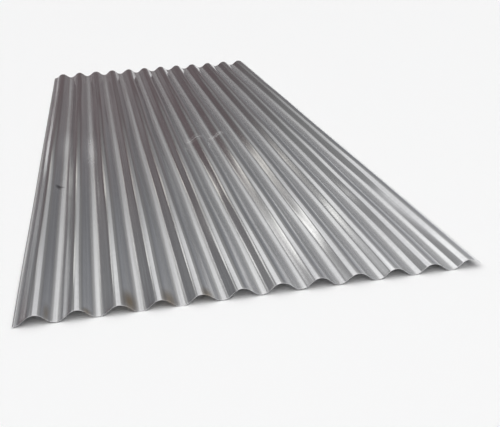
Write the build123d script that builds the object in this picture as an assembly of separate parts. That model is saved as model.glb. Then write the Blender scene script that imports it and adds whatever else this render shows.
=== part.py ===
"""One galvanised corrugated steel sheet: round corrugations rolled into flat stock, lying on its valleys.

The corrugations run along Y and follow one another along X. The origin is at the middle of the sheet,
on the level that its valleys rest on.
"""
import os
from math import atan, ceil, cos, degrees, sin

from build123d import *

# Driving dimensions, in millimetres
sheet_length = 2438.0
metal_thickness = 0.5
corrugation_pitch = 76.2
overall_depth = 18.0
flank_run = 13.0
crest_count = 12
lap_edge_reach = 23.7

# Centre line of the metal: bends of one radius, turning alternately up and down, joined by straight flanks
half_pitch = corrugation_pitch / 2
centre_line_rise = overall_depth - metal_thickness
bend_angle = 2 * atan(centre_line_rise / (half_pitch + flank_run))
bend_radius = (half_pitch - flank_run * cos(bend_angle)) / (2 * sin(bend_angle))
inner_radius = bend_radius - metal_thickness / 2
outer_radius = bend_radius + metal_thickness / 2

# Levels of the bends' centres above the floor
valley_centre_level = outer_radius
crest_centre_level = overall_depth - outer_radius

# Across the sheet: from the middle of the first valley to the lap edge, past the last crest
first_crest_place = half_pitch
last_crest_place = first_crest_place + (crest_count - 1) * corrugation_pitch
sheet_width = last_crest_place + lap_edge_reach
rolled_wave_count = ceil(sheet_width / corrugation_pitch) + 1


def skin(crest_radius, valley_radius):
    """One side of the metal, as a chain of edges from the first valley bend to the last crest bend."""
    half_turn = degrees(bend_angle)
    bends = []
    for wave in range(rolled_wave_count):
        valley_place = wave * corrugation_pitch
        crest_place = valley_place + half_pitch
        valley_middle = (valley_place, valley_centre_level)
        crest_middle = (crest_place, crest_centre_level)
        bends.append(CenterArc(valley_middle, valley_radius, 270 - half_turn, 2 * half_turn))
        bends.append(CenterArc(crest_middle, crest_radius, 90 + half_turn, -2 * half_turn))
    chain = [bends[0]]
    for before, after in zip(bends, bends[1:]):
        chain.append(Line(before @ 1, after @ 0))
        chain.append(after)
    return chain


def rolled_section():
    """The corrugated strip as it leaves the rolls, a little wider than the sheet at both sides."""
    top_skin = skin(outer_radius, inner_radius)
    under_skin = skin(inner_radius, outer_radius)
    start_edge = Line(under_skin[0] @ 0, top_skin[0] @ 0)
    end_edge = Line(top_skin[-1] @ 1, under_skin[-1] @ 1)
    return make_face([start_edge, *top_skin, end_edge, *under_skin])


def sheet_section():
    """The strip slit to the sheet's width and set about the middle of the sheet."""
    slit_width = Rectangle(sheet_width, overall_depth, align=(Align.MIN, Align.MIN))
    slit_strip = rolled_section() & slit_width
    return Pos(-sheet_width / 2, 0) * slit_strip


def corrugated_sheet():
    """The section drawn out along Y to the stock length, sheared square at both ends."""
    return extrude(Plane.XZ * sheet_section(), amount=sheet_length / 2, both=True)


os.makedirs("parts", exist_ok=True)
export_step(corrugated_sheet(), "parts/corrugated_sheet.step")
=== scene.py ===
"""Galvanised corrugated steel sheet, lying flat on a pale studio floor."""

import math

import bpy
import numpy as np
from mathutils import Matrix, Vector


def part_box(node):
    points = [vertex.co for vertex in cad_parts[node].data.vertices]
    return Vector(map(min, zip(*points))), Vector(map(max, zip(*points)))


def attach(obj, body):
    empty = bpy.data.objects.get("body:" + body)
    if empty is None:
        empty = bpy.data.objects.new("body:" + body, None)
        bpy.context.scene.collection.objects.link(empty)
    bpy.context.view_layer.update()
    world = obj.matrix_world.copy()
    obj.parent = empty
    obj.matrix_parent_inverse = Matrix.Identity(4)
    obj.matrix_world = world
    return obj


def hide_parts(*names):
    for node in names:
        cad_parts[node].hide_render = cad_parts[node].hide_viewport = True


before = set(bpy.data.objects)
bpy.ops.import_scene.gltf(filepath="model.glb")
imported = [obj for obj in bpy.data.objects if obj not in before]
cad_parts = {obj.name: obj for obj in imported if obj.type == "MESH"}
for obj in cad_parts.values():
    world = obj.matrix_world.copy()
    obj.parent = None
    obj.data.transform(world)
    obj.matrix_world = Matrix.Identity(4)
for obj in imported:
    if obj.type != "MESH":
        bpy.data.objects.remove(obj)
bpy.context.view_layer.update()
sheet_low, sheet_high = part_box("corrugated_sheet")

# Section of the sheet, in metres
METAL_THICKNESS = 0.0005
CORRUGATION_PITCH = 0.0762
HALF_PITCH = CORRUGATION_PITCH / 2
OVERALL_DEPTH = 0.018
FLANK_RUN = 0.013
SHEET_WIDTH = sheet_high.x - sheet_low.x
SHEET_LENGTH = sheet_high.y - sheet_low.y

# Fineness of the modelled surface
COLUMNS = 560
TRIALS_PER_COLUMN = 100
TRIAL_REACH_SHARE = 2
BODY_ROWS = 72
END_ROWS = 6

# Unevenness that rolling and handling leave: height, wave lengths across and along, number of waves
BUCKLE = {"height": 0.0005, "across": (0.25, 0.9), "along": (0.5, 1.6), "count": 6}
WANDER = {"height": 0.0002, "across": (0.045, 0.12), "along": (0.5, 1.8), "count": 16}
ROLL_LINES = {"height": 0.00003, "across": (0.015, 0.04), "along": (1.5, 6.0), "count": 24}
SEED = 7

# Long edges that spring up a little, and sheared ends that droop a little
EDGE_SPRING = 0.0012
SHEARED_LENGTH = 0.008
SHEARED_DROOP = 0.00015

# Camera
CAMERA_PLACE = (-0.250, -2.491, 0.663)
CAMERA_TURN = math.radians(10.68)
CAMERA_DIP = math.radians(20.95)
CAMERA_ROLL = math.radians(-2.62)
SENSOR_WIDTH = 36.0
LENS = 55.4

# Zinc skin: fineness of its patterns, per metre, across, along and up
STREAK_FINENESS = (150, 0.7, 150)
HAIRLINE_FINENESS = (700, 4, 700)
CLOUD_FINENESS = (9, 3, 9)
SCRATCH_FINENESS = (25, 260, 25)
SPANGLE_FINENESS = 150
NOISE_DETAIL = 3
TONE_SHARES = {"streaks": 0.6, "spangle": 0.05, "cloud": 0.35}
TONE_RANGE = (0.3, 0.7)
DULL_ZINC = (0.54, 0.54, 0.555)
BRIGHT_ZINC = (0.7, 0.705, 0.71)
DULL_ROUGHNESS = 0.17
BRIGHT_ROUGHNESS = 0.1
HAIRLINE_SHARE = 0.25
RELIEF_HEIGHT = 0.000008

# Dust and marks: places and half sizes in metres, shares of the metal they cover
DUST_COLOUR = (0.7, 0.69, 0.68)
DUST_ROUGHNESS = 0.6
VALLEY_DUST = {"edge": 0.45, "share": 0.14}
HAZE = [
    {"centre": (-0.375, -0.02, 0), "reach": (0.03, 0.25, 1), "share": 0.1},
    {"centre": (-0.3, -0.1, 0), "reach": (0.03, 0.25, 1), "share": 0.14},
]
SCUFFS = [
    {"centre": (0.035, -0.105, 0), "reach": (0.06, 0.04, 1), "share": 0.3},
    {"centre": (0.105, -0.09, 0), "reach": (0.045, 0.03, 1), "share": 0.3},
]
SCRATCH_RANGE = (0.4, 0.6)
STAINS = [
    {"centre": (-0.391, -1.195, 0), "reach": (0.008, 0.05, 1), "share": 0.6},
    {"centre": (-0.318, -1.213, 0), "reach": (0.012, 0.02, 1), "share": 0.7},
    {"centre": (-0.24, -1.19, 0), "reach": (0.018, 0.065, 1), "share": 1.0},
    {"centre": (-0.167, -1.205, 0), "reach": (0.019, 0.055, 1), "share": 0.85},
    {"centre": (-0.096, -1.212, 0), "reach": (0.016, 0.04, 1), "share": 0.7},
]
STAIN_COLOUR = (0.29, 0.22, 0.135)
DARK_SPOTS = [
    {"centre": (-0.389, -0.45, 0), "reach": (0.01, 0.024, 1), "share": 0.9},
    {"centre": (-0.381, -0.442, 0), "reach": (0.012, 0.012, 1), "share": 0.55},
]
SPOT_COLOUR = (0.07, 0.07, 0.075)

# Floor
FLOOR_REACH = 300.0
FLOOR_COLOUR = 0.94
FLOOR_ROUGHNESS = 0.8
FLOOR_SHINE = 0.2

# Sky: stops of height and colour, where one number is a grey
SKY_STOPS = [
    (0.0, (0.16, 0.13, 0.135)), (0.05, (0.17, 0.14, 0.145)), (0.09, (0.23, 0.21, 0.215)),
    (0.12, (0.22, 0.2, 0.205)), (0.155, (0.15, 0.115, 0.12)), (0.2, (0.13, 0.1, 0.105)),
    (0.25, (0.18, 0.17, 0.172)), (0.29, 0.22), (0.33, 0.28), (0.38, 0.33), (0.45, 0.38), (0.5, 0.32),
    (0.55, 0.5), (0.62, 0.65)]

# Side walls and overhead banks: stops of place, from 0 at the left to 1 at the right, and colour
SIDE_STOPS = [
    (0.27, (0.12, 0.12, 0.124)), (0.285, (0.25, 0.252, 0.26)), (0.35, (0.2, 0.19, 0.195)),
    (0.37, (0.12, 0.1, 0.1)), (0.42, 0), (0.55, 0), (0.58, (0.21, 0.185, 0.19)),
    (0.65, (0.215, 0.215, 0.225)), (0.7, (0.29, 0.295, 0.31)), (0.75, (0.5, 0.505, 0.52))]
BANK_STOPS = [(0.1, 0), (0.14, 2), (0.3, 2), (0.36, 0), (0.64, 0), (0.7, 2), (0.86, 2), (0.9, 0)]
BANK_RISE = (0.5, 0.62)

# Pale line low down: the heights, and then the places ahead, between which it fades
HORIZON_COLOUR = 0.95
HORIZON_TOP = (0.02, 0.015)
HORIZON_SIDES = (0.75, 0.65)

# Soft upright panels: turn in degrees, half width low down, widening with height, edge, stops by height
PANELS = [
    {"turn": -2, "half": -0.075, "widening": 0.6, "edge": 0.025, "stops": [
        (0.2, (0.14, 0.105, 0.11)), (0.25, (0.19, 0.18, 0.18)), (0.28, 0.28), (0.31, 0.42), (0.34, 0.5),
        (0.37, 0.6), (0.4, 1), (0.44, 1.02), (0.48, 0.94), (0.52, 1.15), (0.56, 1.35), (0.6, 1.25),
        (0.68, 0.65)]},
    {"turn": 20, "half": 0.2, "widening": 0, "edge": 0.08, "stops": [
        (0.2, (0.14, 0.13, 0.13)), (0.25, 0.21), (0.28, 0.24), (0.32, 0.3), (0.36, 0.35), (0.4, 0.41),
        (0.46, 0.5), (0.5, 0.56), (0.55, 0.78), (0.6, 1), (0.68, 0.65)]},
    {"turn": -22.5, "half": 0.06, "widening": 0, "edge": 0.035, "stops": [
        (0.28, 0), (0.32, 0.5), (0.36, 0.68), (0.42, 0.66), (0.45, 0.42), (0.48, 0.25)]},
]

# Strip lamps: ends and width in metres, colour and power; all face one place on the sheet
STRIP_LIGHTS = [
    {"ends": ((-1.37, 2.43, 1.2), (-0.78, 2.8, 1.43)), "width": 0.3,
     "colour": (1.0, 0.99, 0.96), "power": 0.0112},
    {"ends": ((-1.09, 3.03, 0.94), (-0.58, 3.4, 1.19)), "width": 0.26,
     "colour": (1.0, 0.97, 0.9), "power": 0.006},
]
STRIP_AIM = (0.17, -0.95, 0)
STRIP_SPREAD = math.radians(24)


def add_object(name, data):
    """A new object, put into the scene."""
    made = bpy.data.objects.new(name, data)
    bpy.context.scene.collection.objects.link(made)
    return made


def centre_line(along):
    """Place across, height and tilt of the metal's middle, at developed distances from the first valley."""
    rise = OVERALL_DEPTH - METAL_THICKNESS
    bend = 2 * math.atan(rise / (HALF_PITCH + FLANK_RUN))
    radius = (HALF_PITCH - FLANK_RUN * math.cos(bend)) / (2 * math.sin(bend))
    arc = radius * bend
    half_wave = 2 * arc + FLANK_RUN
    number = np.floor(along / half_wave)
    falls = number % 2 == 1
    walked = along - number * half_wave
    walked = np.where(falls, half_wave - walked, walked)
    from_crest = half_wave - walked
    low_tilt = np.minimum(walked / radius, bend)
    high_tilt = np.minimum(from_crest / radius, bend)
    on_low = walked <= half_wave / 2
    flank = np.maximum(np.minimum(walked, from_crest) - arc, 0)
    tilt = np.where(on_low, low_tilt, high_tilt)
    out = radius * np.sin(tilt) + flank * np.cos(bend)
    up = radius * (1 - np.cos(tilt)) + flank * np.sin(bend)
    across = np.where(on_low, out, HALF_PITCH - out)
    height = np.where(on_low, up, rise - up) + METAL_THICKNESS / 2
    across = np.where(falls, HALF_PITCH - across, across) + number * HALF_PITCH
    return across, height, np.where(falls, -tilt, tilt)


def sheet_columns():
    """Evenly spaced developed distances from the valley edge to the lap edge."""
    reach = np.linspace(0, TRIAL_REACH_SHARE * SHEET_WIDTH, TRIALS_PER_COLUMN * COLUMNS)
    across = centre_line(reach)[0]
    developed_width = np.interp(SHEET_WIDTH, across, reach)
    return np.linspace(0, developed_width, COLUMNS + 1)


def sheet_rows():
    """Distances along the sheet, closer together at its sheared ends."""
    half = SHEET_LENGTH / 2
    end = SHEARED_LENGTH * np.linspace(0, 1, END_ROWS, endpoint=False) ** 2
    body = np.linspace(SHEARED_LENGTH - half, half - SHEARED_LENGTH, BODY_ROWS + 1)
    return np.concatenate([end - half, body, half - end[::-1]])


def unevenness(random, across, along, wave):
    """Gentle random waves over the sheet."""
    total = np.zeros((len(along), len(across)))
    for _ in range(wave["count"]):
        length_across = random.uniform(*wave["across"]) * random.choice([-1, 1])
        length_along = random.uniform(*wave["along"])
        start = random.uniform(0, 1)
        turns = across / length_across + along[:, None] / length_along + start
        total += np.sin(2 * math.pi * turns)
    return wave["height"] * total / math.sqrt(wave["count"] / 2)


def sheet_points(columns, rows):
    """Points of the top skin and then of the under skin, row by row, the lowest at floor level."""
    across, height, tilt = centre_line(columns)
    random = np.random.default_rng(SEED)
    proud = sum(unevenness(random, columns, rows, wave) for wave in (BUCKLE, WANDER, ROLL_LINES))
    to_end = SHEET_LENGTH / 2 - np.abs(rows)
    droop = SHEARED_DROOP * np.maximum(1 - to_end / SHEARED_LENGTH, 0) ** 2
    to_side = np.minimum(across, SHEET_WIDTH - across)
    spring = EDGE_SPRING * np.maximum(1 - to_side / HALF_PITCH, 0) ** 2
    normal = np.stack([-np.sin(tilt), np.zeros_like(tilt), np.cos(tilt)], axis=1)
    middle = np.zeros((len(rows), len(columns), 3))
    middle[..., 0] = across - SHEET_WIDTH / 2
    middle[..., 1] = rows[:, None]
    middle[..., 2] = height + spring - droop[:, None]
    middle += proud[..., None] * normal
    top = middle + METAL_THICKNESS / 2 * normal
    under = middle - METAL_THICKNESS / 2 * normal
    points = np.concatenate([top.reshape(-1, 3), under.reshape(-1, 3)])
    points[:, 2] -= points[:, 2].min()
    return points


def sheet_faces(row_count, column_count):
    """Faces of both skins, and of the cut rim between them."""
    index = np.arange(row_count * column_count).reshape(row_count, column_count)
    below = index.size
    near_left = index[:-1, :-1]
    near_right = index[:-1, 1:]
    far_right = index[1:, 1:]
    far_left = index[1:, :-1]
    top_faces = np.stack([near_left, near_right, far_right, far_left], axis=2).reshape(-1, 4)
    under_faces = top_faces[:, ::-1] + below
    rim = np.concatenate([index[0, :-1], index[:-1, -1], index[-1, :0:-1], index[:0:-1, 0]])
    rim_next = np.roll(rim, -1)
    rim_faces = np.stack([rim_next, rim, rim + below, rim_next + below], axis=1)
    return np.concatenate([top_faces, under_faces]), rim_faces


def sheet_piece():
    """The sheet as one closed skin, smooth but for its cut rim."""
    columns = sheet_columns()
    rows = sheet_rows()
    skin_faces, rim_faces = sheet_faces(len(rows), len(columns))
    faces = np.concatenate([skin_faces, rim_faces])
    mesh = bpy.data.meshes.new("corrugated_sheet_surface")
    mesh.from_pydata(sheet_points(columns, rows).tolist(), [], faces.tolist())
    mesh.polygons.foreach_set("use_smooth", np.arange(len(faces)) < len(skin_faces))
    mesh.update()
    return add_object("corrugated_sheet_surface", mesh)


def add_node(tree, kind, inputs, **settings):
    """A shader node with its settings, its plain values and its links."""
    made = tree.nodes.new("ShaderNode" + kind)
    for name, value in settings.items():
        setattr(made, name, value)
    for name, value in inputs.items():
        if isinstance(value, bpy.types.NodeSocket):
            tree.links.new(value, made.inputs[name])
        else:
            made.inputs[name].default_value = value
    return made


def math_node(tree, operation, *values):
    """Result of an operation on values."""
    return add_node(tree, "Math", dict(enumerate(values)), operation=operation).outputs[0]


def opaque(colour):
    """A colour with full cover: one number stands for a grey, and a node's colour stays as it is."""
    if isinstance(colour, bpy.types.NodeSocket):
        return colour
    if isinstance(colour, (int, float)):
        colour = (colour, colour, colour)
    return (*colour, 1)


def ramp(tree, source, stops):
    """Colours eased between stops along a value."""
    made = add_node(tree, "ValToRGB", {"Fac": source})
    made.color_ramp.interpolation = "EASE"
    elements = made.color_ramp.elements
    while len(elements) < len(stops):
        elements.new(1)
    for element, (position, colour) in zip(elements, stops):
        element.position = position
        element.color = opaque(colour)
    return made.outputs["Color"]


def stretched_noise(tree, place, fineness):
    """Noise with a fineness of its own in each direction."""
    mapped = add_node(tree, "Mapping", {"Vector": place, "Scale": fineness})
    noise = add_node(tree, "TexNoise", {"Vector": mapped.outputs[0], "Scale": 1.0, "Detail": NOISE_DETAIL})
    return noise.outputs["Fac"]


def sum_of(tree, parts):
    """Values added up, each times its share."""
    total = 0.0
    for value, share in parts:
        total = math_node(tree, "MULTIPLY_ADD", value, share, total)
    return total


def eased(tree, value, start, end, low=0.0, high=1.0):
    """Value eased from low to high as it goes from start to end."""
    reach = {"Value": value, "From Min": start, "From Max": end, "To Min": low, "To Max": high}
    return add_node(tree, "MapRange", reach, interpolation_type="SMOOTHSTEP").outputs[0]


def blend(tree, share, one, other, kind="MIX"):
    """Colour going from one to the other with the share."""
    inputs = {"Factor": share, "A": opaque(one), "B": opaque(other)}
    return add_node(tree, "Mix", inputs, data_type="RGBA", blend_type=kind).outputs["Result"]


def oval(tree, place, centre, reach, share):
    """Share of a soft oval patch."""
    moved = add_node(tree, "VectorMath", {0: place, 1: centre}, operation="SUBTRACT").outputs[0]
    scaled = add_node(tree, "VectorMath", {0: moved, 1: reach}, operation="DIVIDE").outputs[0]
    away = add_node(tree, "VectorMath", {0: scaled}, operation="LENGTH").outputs["Value"]
    return eased(tree, away, 1.0, 0.0, high=share)


def patches(tree, place, ovals):
    """Share of several soft ovals together."""
    return sum_of(tree, [(oval(tree, place, **values), 1.0) for values in ovals])


def valley_dust(tree, place):
    """Share of dust, most at the bottom of each valley."""
    across = add_node(tree, "SeparateXYZ", {"Vector": place}).outputs["X"]
    angle = 2 * math.pi / CORRUGATION_PITCH
    start = angle * SHEET_WIDTH / 2
    wave = math_node(tree, "COSINE", math_node(tree, "MULTIPLY_ADD", across, angle, start))
    return eased(tree, wave, VALLEY_DUST["edge"], 1.0, high=VALLEY_DUST["share"])


def film(tree, place):
    """Share of the metal that dust, haze and scuffs cover."""
    scratches = eased(tree, stretched_noise(tree, place, SCRATCH_FINENESS), *SCRATCH_RANGE)
    scuffs = math_node(tree, "MULTIPLY", patches(tree, place, SCUFFS), scratches)
    haze = patches(tree, place, HAZE)
    return sum_of(tree, [(scuffs, 1.0), (haze, 1.0), (valley_dust(tree, place), 1.0)])


def zinc_tone(tree, place, streaks):
    """Tone of the bare zinc, from dull at 0 to bright at 1."""
    cells = add_node(tree, "TexVoronoi", {"Vector": place, "Scale": SPANGLE_FINENESS})
    spangle = add_node(tree, "SeparateColor", {"Color": cells.outputs["Color"]}).outputs[0]
    cloud = stretched_noise(tree, place, CLOUD_FINENESS)
    patterns = {"streaks": streaks, "spangle": spangle, "cloud": cloud}
    tone = sum_of(tree, [(patterns[name], share) for name, share in TONE_SHARES.items()])
    return eased(tree, tone, *TONE_RANGE)


def zinc_colour(tree, place, tone, covered):
    """Bare zinc with dust, then stains, then dark spots over it."""
    colour = blend(tree, tone, DULL_ZINC, BRIGHT_ZINC)
    colour = blend(tree, covered, colour, DUST_COLOUR)
    colour = blend(tree, patches(tree, place, STAINS), colour, STAIN_COLOUR)
    return blend(tree, patches(tree, place, DARK_SPOTS), colour, SPOT_COLOUR)


def zinc_roughness(tree, tone, covered):
    """Roughness of the bare zinc, more where it is covered."""
    bare = eased(tree, tone, 0.0, 1.0, DULL_ROUGHNESS, BRIGHT_ROUGHNESS)
    return sum_of(tree, [(bare, 1.0), (covered, DUST_ROUGHNESS)])


def zinc_relief(tree, place, streaks):
    """Fine lines that the rolls leave along the sheet."""
    hairlines = stretched_noise(tree, place, HAIRLINE_FINENESS)
    relief = sum_of(tree, [(streaks, 1.0), (hairlines, HAIRLINE_SHARE)])
    bump = add_node(tree, "Bump", {"Height": relief, "Strength": 1.0, "Distance": RELIEF_HEIGHT})
    return bump.outputs[0]


def zinc():
    """Galvanised steel with dust and marks."""
    material = bpy.data.materials.new("galvanised_steel")
    material.use_nodes = True
    tree = material.node_tree
    shader = tree.nodes["Principled BSDF"]
    place = add_node(tree, "TexCoord", {}).outputs["Object"]
    streaks = stretched_noise(tree, place, STREAK_FINENESS)
    tone = zinc_tone(tree, place, streaks)
    covered = film(tree, place)
    tree.links.new(zinc_colour(tree, place, tone, covered), shader.inputs["Base Color"])
    tree.links.new(math_node(tree, "SUBTRACT", 1.0, covered), shader.inputs["Metallic"])
    tree.links.new(zinc_roughness(tree, tone, covered), shader.inputs["Roughness"])
    tree.links.new(zinc_relief(tree, place, streaks), shader.inputs["Normal"])
    return material


def floor_piece():
    """A wide level floor."""
    corners = [(x * FLOOR_REACH, y * FLOOR_REACH, 0) for x, y in ((-1, -1), (1, -1), (1, 1), (-1, 1))]
    mesh = bpy.data.meshes.new("floor")
    mesh.from_pydata(corners, [], [(0, 1, 2, 3)])
    floor = add_object("floor", mesh)
    material = bpy.data.materials.new("pale_floor")
    material.use_nodes = True
    shader = material.node_tree.nodes["Principled BSDF"]
    shader.inputs["Base Color"].default_value = opaque(FLOOR_COLOUR)
    shader.inputs["Roughness"].default_value = FLOOR_ROUGHNESS
    shader.inputs["Specular IOR Level"].default_value = FLOOR_SHINE
    mesh.materials.append(material)


def panel(tree, towards, height, turn, half, widening, edge, stops):
    """Light of a soft upright panel, ahead and behind alike, which may widen with height.

    One whose half width low down is below zero starts higher up.
    """
    way = (math.cos(math.radians(turn)), -math.sin(math.radians(turn)), 0)
    aside = add_node(tree, "VectorMath", {0: towards, 1: way}, operation="DOT_PRODUCT").outputs["Value"]
    past_width = sum_of(tree, [(height, -widening), (math_node(tree, "ABSOLUTE", aside), 1.0)])
    share = eased(tree, past_width, half + edge, half - edge)
    return blend(tree, share, 0, ramp(tree, height, stops))


def horizon(tree, ahead, height):
    """A pale line low down at the sides and behind."""
    low = eased(tree, height, *HORIZON_TOP)
    away = eased(tree, ahead, *HORIZON_SIDES)
    return blend(tree, math_node(tree, "MULTIPLY", low, away), 0, HORIZON_COLOUR)


def banks(tree, across, height):
    """Light of two long banks overhead, one on each side of the sheet."""
    share = eased(tree, height, *BANK_RISE)
    return blend(tree, share, 0, ramp(tree, across, BANK_STOPS))


def strip_light(ends, width, colour, power):
    """A soft gridded strip lamp between two points, facing the near right of the sheet."""
    start, end = Vector(ends[0]), Vector(ends[1])
    middle = (start + end) / 2
    back = (middle - Vector(STRIP_AIM)).normalized()
    reach = end - start
    reach -= reach.dot(back) * back
    along = reach.normalized()
    data = bpy.data.lights.new("strip_light", "AREA")
    data.shape = "ELLIPSE"
    data.size = reach.length
    data.size_y = width
    data.spread = STRIP_SPREAD
    data.color = colour
    data.energy = power
    light = add_object("strip_light", data)
    turned = Matrix((along, back.cross(along), back)).transposed().to_4x4()
    light.matrix_world = Matrix.Translation(middle) @ turned
    light.visible_camera = False


def studio():
    """Dark low walls under a paler sky, banks overhead, a pale line far off and soft upright panels."""
    world = bpy.data.worlds.new("studio")
    bpy.context.scene.world = world
    world.use_nodes = True
    tree = world.node_tree
    towards = add_node(tree, "TexCoord", {}).outputs["Generated"]
    split = add_node(tree, "SeparateXYZ", {"Vector": towards})
    height = split.outputs["Z"]
    across = add_node(tree, "MapRange", {"Value": split.outputs["X"], "From Min": -1.0}).outputs[0]
    lights = [
        ramp(tree, height, SKY_STOPS), ramp(tree, across, SIDE_STOPS), banks(tree, across, height),
        horizon(tree, split.outputs["Y"], height)]
    lights += [panel(tree, towards, height, **values) for values in PANELS]
    lightest = lights[0]
    for light in lights[1:]:
        lightest = blend(tree, 1.0, lightest, light, kind="LIGHTEN")
    tree.links.new(lightest, tree.nodes["Background"].inputs["Color"])


def photo_camera():
    """The camera at the photo's angle."""
    level_ahead = Vector((math.sin(CAMERA_TURN), math.cos(CAMERA_TURN), 0))
    ahead = math.cos(CAMERA_DIP) * level_ahead - math.sin(CAMERA_DIP) * Vector((0, 0, 1))
    level = Vector((math.cos(CAMERA_TURN), -math.sin(CAMERA_TURN), 0))
    above = level.cross(ahead)
    right = math.cos(CAMERA_ROLL) * level + math.sin(CAMERA_ROLL) * above
    up = math.cos(CAMERA_ROLL) * above - math.sin(CAMERA_ROLL) * level
    data = bpy.data.cameras.new("camera")
    data.lens = LENS
    data.sensor_width = SENSOR_WIDTH
    camera = add_object("camera", data)
    turned = Matrix((right, up, -ahead)).transposed().to_4x4()
    camera.matrix_world = Matrix.Translation(CAMERA_PLACE) @ turned
    bpy.context.scene.camera = camera


sheet = sheet_piece()
sheet.data.materials.append(zinc())
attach(sheet, "root")
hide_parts("corrugated_sheet")
floor_piece()
studio()
for values in STRIP_LIGHTS:
    strip_light(**values)
photo_camera()
bpy.context.scene.view_settings.view_transform = "Standard"
